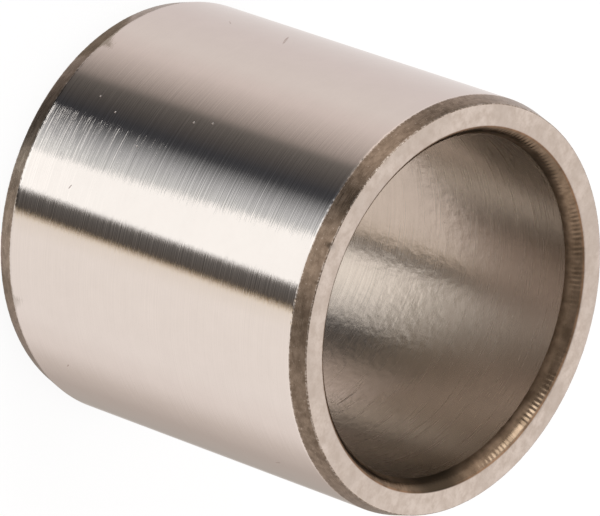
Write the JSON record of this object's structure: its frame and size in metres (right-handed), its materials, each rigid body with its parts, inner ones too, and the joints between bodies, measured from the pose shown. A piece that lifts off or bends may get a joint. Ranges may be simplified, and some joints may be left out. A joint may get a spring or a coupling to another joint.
{
  "type": "spacer sleeve",
  "caption": "Hardened and ground steel spacer sleeve with a straight bore, slender lead-in tapers outside and rounded bore corners.",
  "frame": {"origin": "centre of the lower end face, on the axis of the bore", "axes": "+Z along the axis of the bore, towards the upper end; the sleeve stands on its lower end"},
  "size_m": [0.055, 0.055, 0.055],
  "materials": {
    "ground_steel": "fine ground, turned on the tapers and bore corners"
  },
  "bodies": {
    "root": {"sleeve": "ground_steel"}
  },
  "joints": []
}
